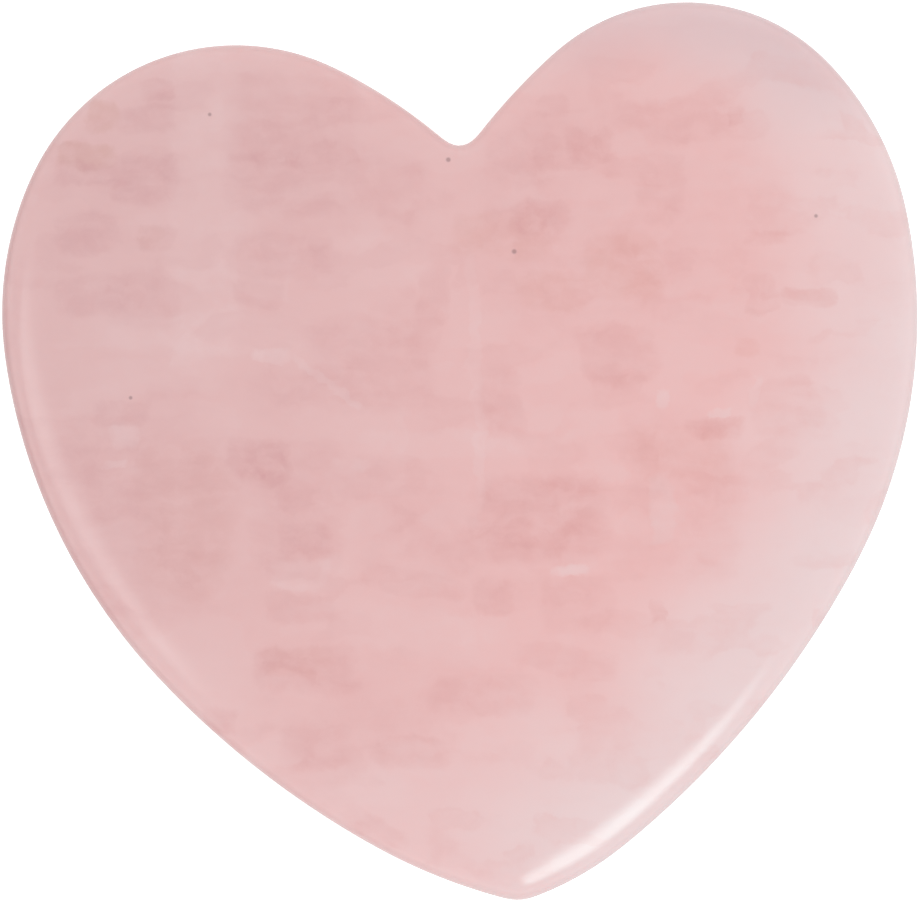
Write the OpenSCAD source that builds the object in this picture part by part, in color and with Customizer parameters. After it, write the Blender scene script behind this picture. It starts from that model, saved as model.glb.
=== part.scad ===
// Gua sha scraper: one heart-shaped plate of polished rose quartz.
// Millimetres. The origin is under the middle of the plate, on the face that it lies on.
// +Z is up through the plate, +Y points at the notch, and the tip points to -Y.
//
// The outline is a chain of tangent arcs. Each half runs from the notch over its lobe and down
// to the tip as flank, lobe, shoulder, side, waist and toe. An arc is given by its radius and by
// the bearing, in degrees from +X, of the point where it hands over to the next arc.

/* [Plate] */
// Width across both lobes
heart_w = 70; // [55:1:90]
// Thickness; the rim is a half round of the same size
thickness = 6; // [4:0.5:7]
// How much larger the tip's radius is than the rim's half round
tip_extra = 0.2; // [0.1:0.1:1]
// Radius at the bottom of the notch, on a heart 70 wide
notch_r = 1.5; // [1:0.1:2.5]

/* [Lobes] */
// Middle of the right lobe along X
right_lobe_x = 18; // [17:0.1:19]
// Middle of the right lobe along Y
right_lobe_y = 18.6; // [18:0.1:19.2]
// Middle of the left lobe along X
left_lobe_x = -16.8; // [-17.8:0.1:-15.8]
// Middle of the left lobe along Y
left_lobe_y = 16.3; // [15.7:0.1:16.9]

/* [Right half] */
// Radius of the right flank, from the notch up to the lobe
right_flank_r = 48.5; // [42:0.5:55]
// Radius of the right lobe
right_lobe_r = 15.1; // [14.6:0.1:15.6]
// Radius of the right shoulder
right_shoulder_r = 23; // [20:0.5:26]
// Radius of the right side
right_side_r = 40; // [36:0.5:44]
// Radius of the right waist
right_waist_r = 70.5; // [64:0.5:77]
// Radius of the right toe, which ends at the tip
right_toe_r = 24; // [21:0.5:27]
// Bearing where the right flank meets the lobe
right_flank_end = 127; // [125:1:129]
// Bearing where the right lobe meets the shoulder
right_lobe_end = 39; // [36:1:42]
// Bearing where the right shoulder meets the side
right_shoulder_end = 7; // [4:1:10]
// Bearing where the right side meets the waist
right_side_end = -33; // [-35:1:-31]
// Bearing where the right waist meets the toe
right_waist_end = -56; // [-58:1:-54]

/* [Left half] */
// Radius of the left flank, from the notch up to the lobe
left_flank_r = 39; // [34:0.5:44]
// Radius of the left lobe
left_lobe_r = 17.2; // [16.7:0.1:17.7]
// Radius of the left shoulder
left_shoulder_r = 25; // [22:0.5:28]
// Radius of the left side
left_side_r = 45; // [41:0.5:49]
// Radius of the left waist
left_waist_r = 67.5; // [61:0.5:74]
// Radius of the left toe, which ends at the tip
left_toe_r = 42.5; // [38:0.5:47]
// Bearing where the left flank meets the lobe
left_flank_end = 59; // [57:1:61]
// Bearing where the left lobe meets the shoulder
left_lobe_end = 150; // [147:1:153]
// Bearing where the left shoulder meets the side
left_shoulder_end = 183; // [181:1:186]
// Bearing where the left side meets the waist
left_side_end = 218; // [216:1:220]
// Bearing where the left waist meets the toe
left_waist_end = 236; // [234:1:238]

/* [Hidden] */
// Facets round a full circle
$fn = 96;
// Colour of the stone
rose_quartz = [0.91, 0.72, 0.70];

// Radius of the rim's half round, and of the outline at the tip
edge_r = thickness / 2;
tip_r = edge_r + tip_extra;
// Flat facets round the half round of the rim
rim_steps = 12;
// Longest step along the outline, and the fewest steps on a short arc
outline_step = 1.5;
least_steps = 6;

function unit(a) = [cos(a), sin(a)];
function bearing(v) = atan2(v[1], v[0]);

// Middles of a half's six arcs, from the flank to the toe: where two arcs meet, both middles
// lie on the one line through the meeting point, so the outline has no corner there
function middles(lobe, r, ends) =
    let (flank = lobe + (r[1] - r[0]) * unit(ends[0]))
    let (shoulder = lobe + (r[1] - r[2]) * unit(ends[1]))
    let (side = shoulder + (r[2] - r[3]) * unit(ends[2]))
    let (waist = side + (r[3] - r[4]) * unit(ends[3]))
    let (toe = waist + (r[4] - r[5]) * unit(ends[4]))
    [flank, lobe, shoulder, side, waist, toe];

// The point at distance d1 from p1 and d2 from p2, on the left of the way from p1 to p2
function crossing(p1, d1, p2, d2) =
    let (way = p2 - p1, gap = norm(way), along = way / gap)
    let (x = (gap * gap + d1 * d1 - d2 * d2) / (2 * gap))
    p1 + x * along + sqrt(d1 * d1 - x * x) * [-along[1], along[0]];

right_ends = [right_flank_end, right_lobe_end, right_shoulder_end, right_side_end, right_waist_end];
left_ends = [left_flank_end, left_lobe_end, left_shoulder_end, left_side_end, left_waist_end];
drawn_right_r = [right_flank_r, right_lobe_r, right_shoulder_r, right_side_r, right_waist_r, right_toe_r];
drawn_left_r = [left_flank_r, left_lobe_r, left_shoulder_r, left_side_r, left_waist_r, left_toe_r];
drawn_right = middles([right_lobe_x, right_lobe_y], drawn_right_r, right_ends);
drawn_left = middles([left_lobe_x, left_lobe_y], drawn_left_r, left_ends);

// The drawn outline is widest at the right side's arc and at the left shoulder's arc
drawn_max_x = drawn_right[3][0] + right_side_r;
drawn_min_x = drawn_left[2][0] - left_shoulder_r;
size = heart_w / (drawn_max_x - drawn_min_x);
drawn_tip_r = tip_r / size;

// The tip's arc touches both toes from inside, and the notch's arc touches both flanks from outside
drawn_tip = crossing(drawn_left[5], left_toe_r - drawn_tip_r, drawn_right[5], right_toe_r - drawn_tip_r);
drawn_notch = crossing(drawn_left[0], left_flank_r + notch_r, drawn_right[0], right_flank_r + notch_r);

// The middle of the outline's own box goes to the origin: it reaches from the tip to the higher lobe's top
drawn_max_y = max(right_lobe_y + right_lobe_r, left_lobe_y + left_lobe_r);
drawn_min_y = drawn_tip[1] - drawn_tip_r;
drawn_mid = [drawn_max_x + drawn_min_x, drawn_max_y + drawn_min_y] / 2;
function placed(p) = size * (p - drawn_mid);

// Points along an arc, each with the outline's outward direction there: [x, y, out_x, out_y].
// out is 1 where the arc bulges outwards and -1 in the notch. The last point is left to the next arc.
function arc_points(middle, r, from, to, out = 1) =
    let (steps = max(least_steps, ceil(abs(to - from) * PI / 180 * r * size / outline_step)))
    [
        for (i = [0:steps - 1])
            let (way = unit(from + (to - from) * i / steps), p = placed(middle + r * way))
            [p[0], p[1], out * way[0], out * way[1]]
    ];

// Bearings where each half's arcs start and end, from the notch to the tip
right_a = concat(bearing(drawn_notch - drawn_right[0]), right_ends, bearing(drawn_tip - drawn_right[5]));
left_a = concat(bearing(drawn_notch - drawn_left[0]), left_ends, bearing(drawn_tip - drawn_left[5]) + 360);

// All the way round: down the right half, round the tip, back up the left half and across the notch
outline = concat(
    [for (i = [0:5]) each arc_points(drawn_right[i], drawn_right_r[i], right_a[i], right_a[i + 1])],
    arc_points(drawn_tip, drawn_tip_r, right_a[6], left_a[6] - 360),
    [for (i = [5:-1:0]) each arc_points(drawn_left[i], drawn_left_r[i], left_a[i + 1], left_a[i])],
    arc_points(drawn_notch, notch_r, left_a[0] - 180, right_a[0] - 180, -1)
);

// A ring of the rim: the outline moved in, at the height of that turn round the half round
function ring(turn) =
    let (inset = edge_r * (1 - cos(turn)), z = edge_r * (1 + sin(turn)))
    [for (p = outline) [p[0] - inset * p[2], p[1] - inset * p[3], z]];

// The half round swept along the whole outline, with both faces closed by fans of triangles
module rimmed_plate() {
    count = len(outline);
    rings = [for (k = [0:rim_steps]) each ring(-90 + 180 * k / rim_steps)];
    under = len(rings);
    over = under + 1;
    top_ring = rim_steps * count;
    sides = [
        for (k = [0:rim_steps - 1], i = [0:count - 1])
            let (j = (i + 1) % count)
            [k * count + i, k * count + j, (k + 1) * count + j, (k + 1) * count + i]
    ];
    bottom = [for (i = [0:count - 1]) [under, (i + 1) % count, i]];
    top = [for (i = [0:count - 1]) [over, top_ring + i, top_ring + (i + 1) % count]];
    polyhedron(concat(rings, [[0, 0, 0], [0, 0, thickness]]), concat(sides, bottom, top));
}

// A disc inside the plate and flush with it, which joins each face's triangles into one plane
module flush_disc() {
    cylinder(h = thickness, d = heart_w / 2);
}

module stone() {
    color(rose_quartz) union() {
        rimmed_plate();
        flush_disc();
    }
}

stone();
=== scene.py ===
"""Looks of the gua sha scraper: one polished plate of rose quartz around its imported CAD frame.

Lengths are metres, as in the frame. Patterns inside the stone are placed in millimetres in the
grain frame: the stone's grain lies GRAIN_TILT off the plate's own X axis, and its origin is the
plate's middle.
"""
import math

import bpy
import numpy as np
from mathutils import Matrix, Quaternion, Vector


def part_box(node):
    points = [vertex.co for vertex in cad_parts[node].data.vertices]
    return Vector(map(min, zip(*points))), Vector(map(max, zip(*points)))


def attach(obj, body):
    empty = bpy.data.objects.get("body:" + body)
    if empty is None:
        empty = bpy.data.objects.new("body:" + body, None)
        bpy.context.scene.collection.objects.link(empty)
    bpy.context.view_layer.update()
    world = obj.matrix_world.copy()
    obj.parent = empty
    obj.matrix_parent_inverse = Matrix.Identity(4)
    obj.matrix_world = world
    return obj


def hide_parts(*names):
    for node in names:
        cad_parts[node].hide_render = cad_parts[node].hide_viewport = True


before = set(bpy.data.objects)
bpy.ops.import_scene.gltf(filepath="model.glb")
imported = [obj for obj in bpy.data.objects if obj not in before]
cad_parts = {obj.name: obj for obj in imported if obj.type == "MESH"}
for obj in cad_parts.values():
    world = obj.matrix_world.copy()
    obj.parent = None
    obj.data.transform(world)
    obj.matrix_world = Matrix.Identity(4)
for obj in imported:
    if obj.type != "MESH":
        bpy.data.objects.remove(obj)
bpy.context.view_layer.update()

MM = 0.001
GRAIN_TILT = math.radians(5.1)

low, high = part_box("stone")
WIDTH = high.x - low.x
THICKNESS = high.z - low.z
MIDDLE = (low + high) / 2

# The shape of the polished plate.
# RIM_DEPTH is how far in from the edge the rim's rounding reaches, where it is hand-ground evenly,
# and RIM_CHANGES where it isn't: bearing from the middle in degrees, its spread, share of RIM_DEPTH.
RIM_DEPTH = 4.4 * MM
RIM_CHANGES = [
    (-84, 5, -0.33),
    (-40, 22, -0.33),
    (170, 25, -0.10),
]
RIM_POWER, RIM_ROOT = 2.4, 3.0  # both 2 is an ellipse; more is flatter on top, or steeper at the edge
CROWN = 0.10 * MM           # how much lower a face is at its shoulder than in its middle
WAVE = 0.006 * MM           # height of the hand polish's slow waves
WAVES_LEVEL = (410, 330)    # how many radians they turn through in a metre of X and of Y
WAVES_SLANTED = (230, -620)     # the same for a weaker set that runs aslant
WAVE_STARTS = (1.3, 0.4, 2.1)   # where each wave starts, in radians
SMOOTHED = 0.5 * MM         # how far the outline's facets are smoothed away
PERIMETER_POINTS = 600
RIM_RINGS = 20
FACE_RINGS = 34
RIM_CROWDING, FACE_CROWDING = 3, 1.25   # powers by which the rings crowd towards the edge
STRAIGHT_INSET = 2.5 * MM   # rings keep to the outline's normals this far in, then head for the middle


def srgb(r, g, b):
    """A colour given as 0 to 255 on a screen, as the linear values that shaders take."""
    def linear(c):
        c = c / 255
        return c / 12.92 if c <= 0.04045 else ((c + 0.055) / 1.055) ** 2.4
    return (linear(r), linear(g), linear(b), 1.0)


# ---------------------------------------------------------------- the plate's shape

def frame_outline():
    """The CAD plate's widest ring, as points in order round the plate's middle."""
    coords = np.array([v.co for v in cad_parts["stone"].data.vertices])
    ring = coords[np.abs(coords[:, 2] - MIDDLE.z) < 0.01 * MM][:, :2]
    ring = np.unique(np.round(ring, 7), axis=0)
    return ring[np.argsort(np.arctan2(ring[:, 1] - MIDDLE.y, ring[:, 0] - MIDDLE.x))]


def even_steps(points, count):
    """The same closed line with count points, evenly spaced along it."""
    closed = np.vstack([points, points[:1]])
    along = np.concatenate([[0], np.cumsum(np.hypot(*np.diff(closed, axis=0).T))])
    at = np.linspace(0, along[-1], count, endpoint=False)
    return np.column_stack([np.interp(at, along, closed[:, k]) for k in (0, 1)])


def polished(points, reach):
    """A closed line with its facets smoothed away over a distance of about reach."""
    step = np.hypot(*(points[1] - points[0]))
    waves = np.fft.fftfreq(len(points), step)
    keep = np.exp(-2 * (math.pi * waves * reach) ** 2)
    line = np.fft.ifft(np.fft.fft(points[:, 0] + 1j * points[:, 1]) * keep)
    return np.column_stack([line.real, line.imag])


def outward(points):
    """Unit normals of a closed line that runs anticlockwise."""
    along = np.roll(points, -1, axis=0) - np.roll(points, 1, axis=0)
    normal = np.column_stack([along[:, 1], -along[:, 0]])
    return normal / np.hypot(*normal.T)[:, None]


def depth_in(points, outline):
    """How far each point lies inside the outline."""
    gaps = points[:, None, :] - outline[None, :, :]
    return np.sqrt((gaps ** 2).sum(axis=2).min(axis=1))


def rim_depth(flat):
    """How far in the rim's rounding reaches, at points given from the plate's middle."""
    bearing = np.degrees(np.arctan2(flat[:, 1], flat[:, 0])) + math.degrees(GRAIN_TILT)
    share = np.ones(len(flat))
    for middle, spread, change in RIM_CHANGES:
        away = (bearing - middle + 180) % 360 - 180
        share += change * np.exp(-(away / spread) ** 2)
    return RIM_DEPTH * share


def half_height(depth, points):
    """Half the plate's thickness at points that lie that deep inside the outline."""
    flat = points - np.array([MIDDLE.x, MIDDLE.y])
    rim = np.clip(1 - depth / rim_depth(flat), 0, 1) ** RIM_POWER
    out = np.hypot(*flat.T) / (WIDTH / 2)
    slow = np.sin(flat[:, 0] * WAVES_LEVEL[0] + WAVE_STARTS[0])
    slow *= np.sin(flat[:, 1] * WAVES_LEVEL[1] + WAVE_STARTS[1])
    slow += 0.6 * np.sin(flat @ WAVES_SLANTED + WAVE_STARTS[2])
    return (THICKNESS / 2 - CROWN * out ** 2 - WAVE * (1.6 + slow)) * (1 - rim) ** (1 / RIM_ROOT)


def plate_rings():
    """(points, half height) of each ring of one face, from the edge to just outside the middle."""
    fine = polished(even_steps(frame_outline(), 4 * PERIMETER_POINTS), SMOOTHED)
    edge = even_steps(fine, PERIMETER_POINTS)
    normal = outward(edge)
    centre = np.array([MIDDLE.x, MIDDLE.y])
    insets = STRAIGHT_INSET * np.linspace(0, 1, RIM_RINGS + 1) ** RIM_CROWDING
    rings = []
    for inset in insets:
        points = edge - inset * normal
        rings.append((points, half_height(np.full(len(points), inset), points)))
    start = rings[-1][0]
    for k in range(1, FACE_RINGS):
        share = (k / FACE_RINGS) ** FACE_CROWDING
        points = start + (centre - start) * share
        rings.append((points, half_height(depth_in(points, fine), points)))
    return rings


def build_plate():
    """One closed mesh: the upper face's rings, the lower face's below them, and a fan in each middle."""
    rings = plate_rings()
    count = PERIMETER_POINTS
    upper = [np.column_stack([p, MIDDLE.z + h]) for p, h in rings]
    lower = [np.column_stack([p, MIDDLE.z - h]) for p, h in rings[1:]]
    ring_list = lower[::-1] + upper
    peak = half_height(np.array([WIDTH]), np.array([[MIDDLE.x, MIDDLE.y]]))[0]
    ends = [(MIDDLE.x, MIDDLE.y, MIDDLE.z - peak), (MIDDLE.x, MIDDLE.y, MIDDLE.z + peak)]
    verts = np.vstack(ring_list + [np.array(ends)])
    bottom = len(verts) - 2
    top = len(verts) - 1
    last = (len(ring_list) - 1) * count
    faces = []
    for i in range(count):
        j = (i + 1) % count
        for k in range(len(ring_list) - 1):
            a, b = k * count, (k + 1) * count
            faces.append((a + i, a + j, b + j, b + i))
        faces.append((bottom, j, i))
        faces.append((last + i, last + j, top))
    mesh = bpy.data.meshes.new("rose_quartz_plate")
    mesh.from_pydata([tuple(v) for v in verts], [], faces)
    mesh.shade_smooth()
    plate = bpy.data.objects.new("rose_quartz_plate", mesh)
    bpy.context.scene.collection.objects.link(plate)
    return plate


# ---------------------------------------------------------------- shader building

class Graph:
    """Adds nodes to the tree of a material, light or world. Inputs are values or other nodes' outputs."""

    def __init__(self, owner):
        owner.use_nodes = True
        self.tree = owner.node_tree

    def node(self, kind, **settings):
        made = self.tree.nodes.new(kind)
        for key, value in settings.items():
            setattr(made, key, value)
        return made

    def feed(self, socket, value):
        if isinstance(value, bpy.types.NodeSocket):
            self.tree.links.new(value, socket)
        else:
            socket.default_value = value

    def math(self, operation, a, b=0.0, c=0.0, clamp=False):
        made = self.node("ShaderNodeMath", operation=operation, use_clamp=clamp)
        for socket, value in zip(made.inputs, (a, b, c)):
            self.feed(socket, value)
        return made.outputs[0]

    def vector(self, operation, a, b=(0, 0, 0), c=(0, 0, 0)):
        made = self.node("ShaderNodeVectorMath", operation=operation)
        for socket, value in zip(made.inputs, (a, b, c)):
            self.feed(socket, value)
        return made.outputs["Value" if operation in ("LENGTH", "DOT_PRODUCT") else "Vector"]

    def split(self, vector):
        """The three numbers of a vector."""
        made = self.node("ShaderNodeSeparateXYZ")
        self.feed(made.inputs[0], vector)
        return made.outputs

    def mapped(self, vector, turn=0.0, scale=(1, 1, 1)):
        made = self.node("ShaderNodeMapping")
        self.feed(made.inputs["Vector"], vector)
        made.inputs["Rotation"].default_value = (0, 0, turn)
        made.inputs["Scale"].default_value = scale
        return made.outputs["Vector"]

    def noise(self, vector, scale, detail=2.0, roughness=0.5, output="Fac"):
        made = self.node("ShaderNodeTexNoise")
        self.feed(made.inputs["Vector"], vector)
        made.inputs["Scale"].default_value = scale
        made.inputs["Detail"].default_value = detail
        made.inputs["Roughness"].default_value = roughness
        return made.outputs[output]

    def step(self, value, start, end, to_start=0.0, to_end=1.0):
        """A smooth step: to_start where value is start, to_end where it is end."""
        made = self.node("ShaderNodeMapRange", interpolation_type="SMOOTHSTEP")
        for name, given in (("Value", value), ("From Min", start), ("From Max", end),
                            ("To Min", to_start), ("To Max", to_end)):
            self.feed(made.inputs[name], given)
        return made.outputs["Result"]

    def mix(self, share, a, b):
        made = self.node("ShaderNodeMix", data_type="RGBA")
        for socket, value in ((made.inputs["Factor"], share), (made.inputs[6], a), (made.inputs[7], b)):
            self.feed(socket, value)
        return made.outputs[2]

    def away(self, vector, middle):
        """How far the vector is from a middle, seen from above."""
        gap = self.vector("MULTIPLY_ADD", vector, (1, 1, 0), (-middle[0], -middle[1], 0))
        return self.vector("LENGTH", gap)

    def block(self, flat, middle, half, turn=0.0):
        """1 inside a soft-edged block with rounded corners, 0 outside it. flat is a place with 1 as its
        third number, middle and half are the block's middle and half sizes, turn is in degrees."""
        cos, sin = math.cos(math.radians(turn)), math.sin(math.radians(turn))
        squares = []
        for (x, y), size in (((cos, sin), half[0]), ((-sin, cos), half[1])):
            shift = -(x * middle[0] + y * middle[1])
            local = self.vector("DOT_PRODUCT", flat, (x / size, y / size, shift / size))
            squares.append(self.math("MULTIPLY", local, local))
        last = self.math("MULTIPLY", squares[1], squares[1])
        return self.step(self.math("MULTIPLY_ADD", squares[0], squares[0], last), 2.9, 0.05)

    def cells(self, vector, smoothness=0.4):
        """A number from 0 to 1 that is nearly even inside each boxy cell, one cell to a unit."""
        made = self.node("ShaderNodeTexVoronoi", feature="SMOOTH_F1", distance="CHEBYCHEV")
        self.feed(made.inputs["Vector"], vector)
        made.inputs["Scale"].default_value = 1.0
        made.inputs["Smoothness"].default_value = smoothness
        made.inputs["Randomness"].default_value = 0.85
        parts = self.node("ShaderNodeSeparateColor")
        self.feed(parts.inputs[0], made.outputs["Color"])
        return parts.outputs[0]


def new_material(name):
    """A material, its graph and its shader's inputs."""
    material = bpy.data.materials.new(name)
    g = Graph(material)
    return material, g, g.tree.nodes["Principled BSDF"].inputs


# ---------------------------------------------------------------- rose quartz

GREY_ROSE = srgb(223, 184, 184)
ROSE = srgb(237, 190, 189)
DEEP_GREY_ROSE = srgb(207, 157, 160)
DEEP_ROSE = srgb(224, 164, 162)
TAN = srgb(208, 160, 152)
SALMON = srgb(226, 163, 155)
PALE = srgb(235, 213, 214)
LOBE_GREY = srgb(219, 190, 193)
SPECK = srgb(120, 88, 92)

# Blocks of deeper colour: middle, half width and height, strength, turn
DEEP_BLOCKS = [
    ((-23.9, 28.5), (1.1, 0.8), 0.34, 0),
    ((-24.8, 26.2), (2.1, 1.0), 0.34, 0),
    ((-24.8, 21.6), (2.2, 1.7), 0.32, 0),
    ((-29.4, 22.0), (2.1, 0.8), 0.28, 0),
    ((-29.2, 17.5), (2.0, 1.4), 0.30, 0),
    ((-24.0, 17.1), (1.3, 0.9), 0.30, 0),
    ((-28.6, 12.6), (2.4, 1.4), 0.28, 0),
    ((-25.2, 12.4), (2.4, 2.1), 0.26, 0),
    ((-13.7, 26.2), (4.4, 3.0), 0.24, 0),
    ((-14.3, 21.1), (4.1, 2.2), 0.34, 0),
    ((-14.7, 15.6), (3.4, 1.4), 0.32, 0),
    ((-16.3, 12.8), (1.8, 1.0), 0.22, 0),
    ((-6.6, 21.3), (3.0, 2.1), 0.28, -20),
    ((-3.0, 12.6), (1.2, 1.8), 0.28, 0),
    ((-8.0, 7.4), (4.3, 3.3), 0.28, 0),
    ((-14.6, 5.6), (2.5, 1.7), 0.14, 0),
    ((-26.8, 3.8), (2.0, 0.8), 0.32, 0),
    ((-25.0, -3.6), (5.8, 7.0), 0.22, 0),
    ((-16.3, 0.0), (2.1, 1.5), 0.46, 0),
    ((-13.4, -3.4), (3.3, 4.6), 0.24, 0),
    ((-12.9, -6.0), (1.8, 1.3), 0.32, 0),
    ((-6.7, -1.0), (2.9, 1.5), 0.28, 0),
    ((-12.9, -11.0), (2.3, 1.0), 0.26, 0),
    ((-12.6, -15.7), (3.3, 1.7), 0.38, 0),
    ((-11.9, -21.4), (2.5, 1.7), 0.32, 0),
    ((-4.8, -22.0), (2.4, 1.2), 0.30, 0),
    ((-19.0, -19.6), (1.2, 0.9), 0.34, 0),
    ((-7.5, -27.8), (2.0, 0.8), 0.28, -25),
    ((8.4, 18.0), (6.8, 7.6), 0.14, 0),
    ((4.9, -4.3), (4.5, 3.0), 0.52, 0),
    ((-4.0, -5.6), (4.2, 3.0), 0.14, 0),
    ((1.6, -10.1), (1.3, 1.3), 0.32, 0),
    ((-4.3, -9.2), (3.2, 0.9), 0.28, -14),
    ((7.8, -10.8), (2.5, 1.9), 0.22, 0),
    ((13.7, -11.3), (0.5, 0.7), 0.34, 0),
    ((7.0, -15.0), (3.3, 1.0), 0.28, -10),
    ((0.9, -17.7), (3.5, 1.4), 0.28, 0),
    ((3.6, 23.0), (2.4, 1.9), 0.22, 0),
    ((8.8, 24.2), (1.7, 1.2), 0.32, 0),
    ((5.0, 18.8), (2.0, 1.0), 0.34, 0),
    ((14.2, 20.8), (1.6, 2.3), 0.20, 0),
    ((11.1, 8.0), (2.6, 1.9), 0.38, 0),
    ((2.0, 4.6), (1.6, 2.4), 0.30, 0),
    ((5.9, 27.1), (0.9, 0.8), 0.26, 0),
    ((16.0, 26.0), (4.3, 1.4), 0.22, 0),
    ((20.0, 26.2), (0.6, 0.7), 0.26, 0),
    ((19.4, 16.4), (4.2, 5.6), 0.10, 0),
    ((21.9, 12.8), (1.1, 1.2), 0.38, 0),
    ((25.3, 12.5), (1.8, 0.7), 0.34, 0),
    ((22.4, 16.8), (1.3, 0.6), 0.26, 0),
    ((18.6, 2.6), (1.9, 0.8), 0.46, 0),
    ((23.6, 4.2), (2.2, 1.8), 0.20, 20),
    ((16.0, -2.5), (3.9, 5.6), 0.20, 0),
]
SALMON_BLOCKS = [
    ((-28.5, 26.4), (1.3, 1.0), 0.40, 0),
    ((-29.4, 23.4), (2.1, 0.9), 0.55, 0),
    ((-24.4, 17.2), (0.8, 0.8), 0.25, 0),
    ((2.3, 17.2), (3.3, 1.7), 0.32, 0),
    ((11.5, 14.8), (2.6, 2.2), 0.36, 0),
    ((5.8, 13.0), (2.4, 1.3), 0.28, 0),
    ((20.7, 8.6), (1.0, 0.7), 0.25, 0),
    ((-22.0, -4.5), (3.0, 5.0), 0.20, 0),
    ((-13.0, -15.2), (2.2, 1.2), 0.22, 0),
    ((15.6, 0.4), (3.6, 2.0), 0.22, 0),
]

# Milky seams, wisps and flecks
MILKY_BLOCKS = [
    ((-20.4, 20.0), (2.3, 11.5), 0.13, 0),
    ((-20.0, 9.6), (7.0, 1.5), 0.12, 0),
    ((-15.4, 8.0), (1.3, 0.5), 0.30, 0),
    ((-11.1, 6.0), (2.9, 0.25), 0.28, -37),
    ((-7.5, 15.5), (4.0, 2.0), 0.10, 0),
    ((0.2, 6.0), (0.4, 9.5), 0.14, 0),
    ((-24.0, 6.4), (4.0, 1.2), 0.10, 0),
    ((-26.5, 2.2), (0.9, 0.9), 0.26, 0),
    ((-27.0, 0.0), (0.9, 0.3), 0.26, 0),
    ((-9.5, -0.2), (1.3, 0.5), 0.16, 0),
    ((-13.2, -8.5), (2.0, 1.0), 0.24, 0),
    ((-10.4, -8.2), (1.0, 1.0), 0.14, 0),
    ((14.1, -3.5), (0.8, 2.2), 0.30, 0),
    ((7.4, -8.2), (1.2, 0.4), 0.32, 0),
    ((14.4, 4.8), (0.5, 0.7), 0.26, 0),
    ((18.6, 3.9), (0.8, 0.3), 0.28, 0),
    ((21.4, 5.2), (0.4, 1.0), 0.24, 0),
    ((18.8, 10.8), (3.2, 1.2), 0.10, 0),
    ((-1.0, 1.4), (6.5, 0.9), 0.12, 0),
    ((-5.0, -12.8), (6.0, 1.7), 0.12, -12),
    ((-9.0, -24.8), (4.0, 1.2), 0.14, 0),
]

# Tiny dark grains near the surface: where, and radius
SPECKS = [
    ((-20.0, 26.4), 0.20),
    ((-1.9, 23.0), 0.26),
    ((3.1, 16.0), 0.26),
    ((26.0, 18.7), 0.20),
    ((-26.0, 4.9), 0.20),
]


def summed_blocks(g, vector, blocks):
    """All the blocks' masks together, each at its own strength."""
    flat = g.vector("MULTIPLY_ADD", vector, (1, 1, 0), (0, 0, 1))
    total = 0.0
    for middle, half, strength, turn in blocks:
        total = g.math("MULTIPLY_ADD", g.block(flat, middle, half, turn), strength, total)
    return total


def warped(g, vector, scale, detail, roughness, reach):
    """The vector moved about by noise, by up to about reach each way."""
    noise = g.noise(vector, scale, detail, roughness, output="Color")
    drift = g.vector("SUBTRACT", noise, (0.5, 0.5, 0.5))
    return g.vector("MULTIPLY_ADD", drift, tuple(2 * r for r in reach), vector)


def broad_tone(g, grain):
    """The stone's slow changes: greyer to the upper left, warmer and paler to the right, partly its own
    tone and partly painted shade and painted light from the lower right; grey in one lobe.
    """
    drifted = warped(g, grain, 0.09, 1, 0.5, (5, 5, 3))
    across, up, _ = g.split(drifted)
    # Greyer to the upper left and warmer to the lower right: partly the stone's own tone, partly painted
    # shade on the left and painted light from the lower right.
    warmth_and_painted_light = g.step(g.math("MULTIPLY_ADD", up, -0.4, across), -42, 26)
    tone = g.mix(warmth_and_painted_light, GREY_ROSE, ROSE)
    # Paler towards the right edge: partly the stone's milk-white clouding, partly painted light from the
    # lower right.
    away = g.away(drifted, (-7.2, 10.6))
    milky_edge_and_painted_light = g.math("MULTIPLY", g.step(away, 26.5, 42), g.step(across, -4, 14, 0.4, 1.0))
    tone = g.mix(milky_edge_and_painted_light, tone, PALE)
    tone = g.mix(g.step(g.math("MULTIPLY_ADD", across, 0.25, up), 30, 40, 0, 0.8), tone, LOBE_GREY)
    return tone, warmth_and_painted_light


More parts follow.
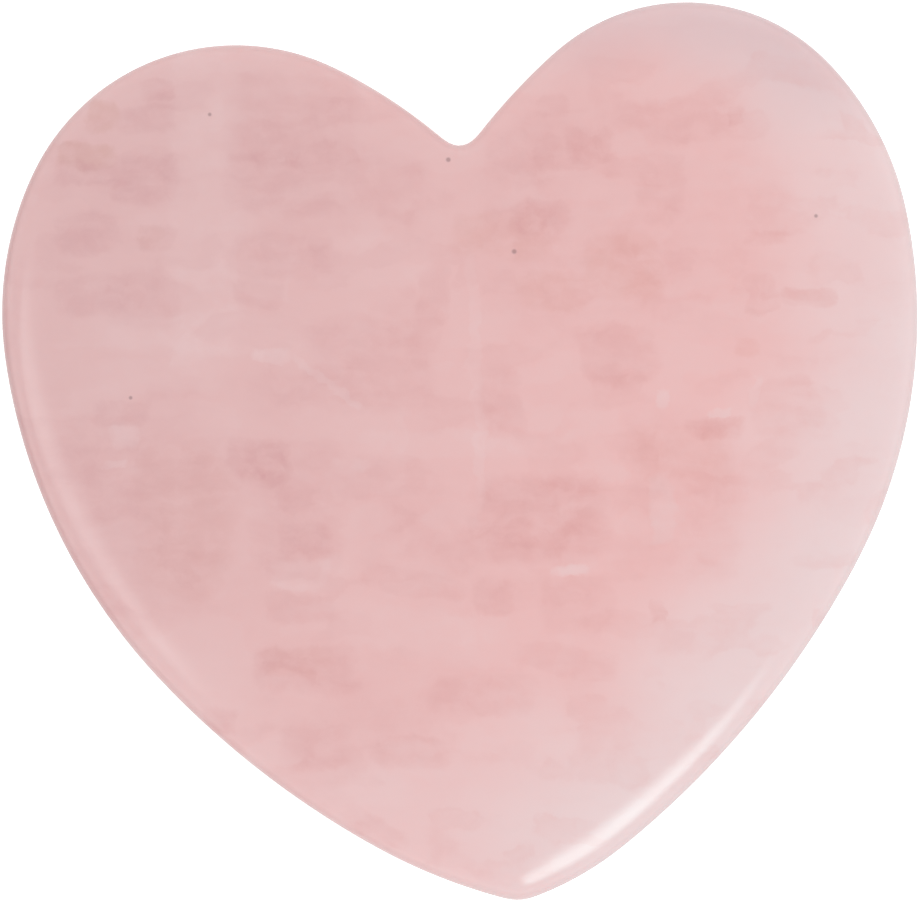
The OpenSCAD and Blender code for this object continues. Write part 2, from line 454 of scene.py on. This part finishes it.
def rose_quartz():
    """Cloudy pink quartz: broad drifts of tone, partly painted shade and light, boxy patches of deeper
    colour, milk-white seams, a polish.
    """
    material, g, s = new_material("rose_quartz")
    place = g.node("ShaderNodeTexCoord").outputs["Object"]
    grain = g.mapped(place, turn=GRAIN_TILT, scale=(1 / MM, 1 / MM, 1 / MM))
    # The broad tone and its grey-to-warm share carry painted shade and painted light from the lower right.
    tone, warmth_and_painted_light = broad_tone(g, grain)

    # How near the upper face a point is. The placed blocks fade with depth and loose cells take over.
    upness = g.step(g.split(grain)[2], 0.5, 5.5)

    bent = warped(g, grain, 0.22, 2, 0.5, (1.1, 0.8, 2.0))
    ragged = warped(g, bent, 0.9, 4, 0.65, (0.7, 0.45, 0.5))
    bricks = g.cells(g.mapped(ragged, scale=(0.24, 0.45, 0.3)))
    crumbs = g.cells(g.mapped(ragged, scale=(0.6, 1.1, 0.8)), 0.7)
    streaks = g.noise(g.mapped(ragged, turn=-0.05, scale=(0.3, 1.0, 0.5)), 1.0, 3, 0.5)
    mottle = g.noise(ragged, 0.6, 4, 0.6)

    # Texture that eats into the blocks' edges and breaks up their middles
    broken = g.math("ADD", g.step(streaks, 0.3, 0.7, 0.5, 0.9), g.step(mottle, 0.3, 0.7, -0.1, 0.4))
    broken = g.math("MULTIPLY_ADD", g.math("SUBTRACT", crumbs, 0.5), 0.5, broken)
    seen = g.step(upness, 0, 1, 0.3, 0.86)
    loose = g.math("MULTIPLY", g.step(bricks, 0.45, 0.85), g.step(upness, 0, 1, 0.34, 0.14))
    deeper = g.math("MULTIPLY_ADD", summed_blocks(g, ragged, DEEP_BLOCKS), seen, loose)
    redder = g.math("MULTIPLY", summed_blocks(g, ragged, SALMON_BLOCKS), seen)
    milkier = g.math("MULTIPLY_ADD", summed_blocks(g, ragged, MILKY_BLOCKS), seen,
                     g.math("MULTIPLY", g.step(bricks, 0.4, 0.1), 0.08))

    # These deeper colours also turn greyer to the upper left and warmer to the lower right, partly as
    # painted shade and painted light.
    deep = g.mix(warmth_and_painted_light, DEEP_GREY_ROSE, DEEP_ROSE)
    tone = g.mix(g.math("MULTIPLY", milkier, g.step(mottle, 0.3, 0.65, 0.6, 1.3), clamp=True), tone, PALE)
    tone = g.mix(g.math("MULTIPLY", redder, broken, clamp=True), tone, g.mix(warmth_and_painted_light, TAN, SALMON))
    tone = g.mix(g.math("MULTIPLY", deeper, broken, clamp=True), tone, deep)
    fine = g.math("MULTIPLY_ADD", streaks, 0.12, g.math("MULTIPLY_ADD", mottle, 0.12, -0.12))
    tone = g.mix(g.math("MAXIMUM", fine, 0.0), tone, deep)
    tone = g.mix(g.math("MAXIMUM", g.math("MULTIPLY", fine, -1.0), 0.0), tone, PALE)

    for middle, radius in SPECKS:
        spot = g.away(grain, middle)
        tone = g.mix(g.step(spot, radius, 0.3 * radius, 0, 0.5), tone, SPECK)

    g.feed(s["Base Color"], tone)
    g.feed(s["Roughness"], g.step(g.noise(grain, 0.4, 3), 0.3, 0.7, 0.14, 0.18))
    s["IOR"].default_value = 1.54
    s["Subsurface Weight"].default_value = 0.35
    s["Subsurface Radius"].default_value = (1.0, 0.7, 0.65)
    s["Subsurface Scale"].default_value = 1.6 * MM
    return material


# ---------------------------------------------------------------- studio

LENS = 0.150
SENSOR = 0.036
SEEN_WIDTH = 1.0083 * WIDTH         # how wide a strip the camera sees at the plate's middle height
VIEW_OFFSET = (-0.00097, 0.00079)   # where the camera aims, right and up from the plate's middle
LAMP_DISTANCE = 0.45
LAMP_POWER = 4                      # watts to a square metre of a softbox, at a glow of 1
ZENITH, HORIZON = 0.94, 1.28        # brightness of the surroundings overhead and level with the plate
UNDER_DIM, UNDER_BRIGHT = 0.20, 0.80    # and below it, on the dim side and on all the others
DIM_SIDE = 185                      # bearing of the middle of the dim side
FLOOR_GLOW = 0.50
FLOOR_HALF = 3.0                    # half the floor's width


def compass(bearing, height=0):
    """The direction at a bearing anticlockwise from the view's right and a height above level.
    Both are in degrees."""
    turn = math.radians(bearing) - GRAIN_TILT
    rise = math.radians(height)
    return Vector((math.cos(rise) * math.cos(turn), math.cos(rise) * math.sin(turn), math.sin(rise)))


def camera():
    """Straight above the plate, turned so that the stone's grain runs level."""
    data = bpy.data.cameras.new("camera")
    data.lens = LENS * 1000
    data.sensor_width = SENSOR * 1000
    data.clip_start = 0.01
    made = bpy.data.objects.new("camera", data)
    bpy.context.scene.collection.objects.link(made)
    aim = MIDDLE + compass(0) * VIEW_OFFSET[0] + compass(90) * VIEW_OFFSET[1]
    made.location = aim + Vector((0, 0, LENS / SENSOR * SEEN_WIDTH))
    made.rotation_euler = (0, 0, -GRAIN_TILT)
    bpy.context.scene.camera = made


def faded(g, share_across, share_up):
    """1 over a rectangular light, falling to 0 over the outer shares of its half width and half height."""
    across, up, _ = g.split(g.node("ShaderNodeNewGeometry").outputs["Parametric"])
    steps = []
    for place, share in ((across, share_across), (up, share_up)):
        from_middle = g.math("ABSOLUTE", g.math("SUBTRACT", place, 0.5))
        steps.append(g.step(from_middle, 0.5, 0.5 - 0.5 * share))
    return g.math("MULTIPLY", *steps)


def softbox(name, bearing, height, size, glow, fade, roll=0, colour=(1, 1, 1)):
    """A rectangular light that faces the plate and shows only as a reflection in its polish.
    size is across and up, glow is how bright its middle is, and fade is as in faded()."""
    data = bpy.data.lights.new(name, "AREA")
    data.shape = "RECTANGLE"
    data.size, data.size_y = size
    data.energy = glow * LAMP_POWER * size[0] * size[1]
    data.color = colour
    g = Graph(data)
    g.feed(g.tree.nodes["Emission"].inputs["Strength"], faded(g, *fade))
    made = bpy.data.objects.new(name, data)
    bpy.context.scene.collection.objects.link(made)
    made.visible_diffuse = False
    way = compass(bearing, height)
    made.location = MIDDLE + way * LAMP_DISTANCE
    rolled = Quaternion((0, 0, 1), math.radians(roll))
    made.rotation_euler = (way.to_track_quat("Z", "Y") @ rolled).to_euler()


def surroundings():
    """An even pale tent: brighter level with the plate than overhead, and dim from below on one side."""
    world = bpy.data.worlds.new("studio")
    bpy.context.scene.world = world
    g = Graph(world)
    way = g.node("ShaderNodeTexCoord").outputs["Generated"]
    height = g.split(way)[2]
    aside = g.vector("DOT_PRODUCT", way, compass(DIM_SIDE))
    under = g.step(aside, 0.5, 1.0, UNDER_BRIGHT, UNDER_DIM)
    over = g.step(height, -0.4, 0.9, HORIZON, ZENITH)
    sky = g.tree.nodes["Background"].inputs
    sky["Color"].default_value = (1.0, 0.99, 0.985, 1)
    g.feed(sky["Strength"], g.step(height, -0.25, 0.05, under, over))


def floor():
    """A wide pale floor that glows a little, as a light table does. It adds no light to the plate."""
    mesh = bpy.data.meshes.new("floor")
    corners = [(x * FLOOR_HALF, y * FLOOR_HALF, 0) for x, y in ((-1, -1), (1, -1), (1, 1), (-1, 1))]
    mesh.from_pydata(corners, [], [(0, 1, 2, 3)])
    made = bpy.data.objects.new("floor", mesh)
    made.location.z = low.z
    bpy.context.scene.collection.objects.link(made)
    material, g, s = new_material("floor_paper")
    place = g.node("ShaderNodeTexCoord").outputs["Object"]
    paper = g.mix(g.noise(place, 40, 4), (0.93, 0.93, 0.93, 1), (0.96, 0.96, 0.96, 1))
    g.feed(s["Base Color"], paper)
    s["Roughness"].default_value = 0.9
    s["Specular IOR Level"].default_value = 0.1
    s["Emission Color"].default_value = (1, 1, 1, 1)
    s["Emission Strength"].default_value = FLOOR_GLOW
    made.data.materials.append(material)
    made.visible_diffuse = False
    made.visible_glossy = False
    made.visible_shadow = False


def studio():
    """Surroundings and floor, a bright softbox low on the right and a dim one on the left."""
    surroundings()
    floor()
    softbox("right_softbox", -58, 46, (0.26, 0.40), 3.9, (0.7, 0.9), colour=(0.65, 1, 0.98))
    softbox("left_softbox", 196, 51, (0.30, 0.38), 1.2, (0.3, 0.9), roll=35, colour=(0.8, 1, 1))
    bpy.context.scene.view_settings.view_transform = "Standard"


camera()
studio()

plate = build_plate()
plate.data.materials.append(rose_quartz())
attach(plate, "root")
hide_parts("stone")
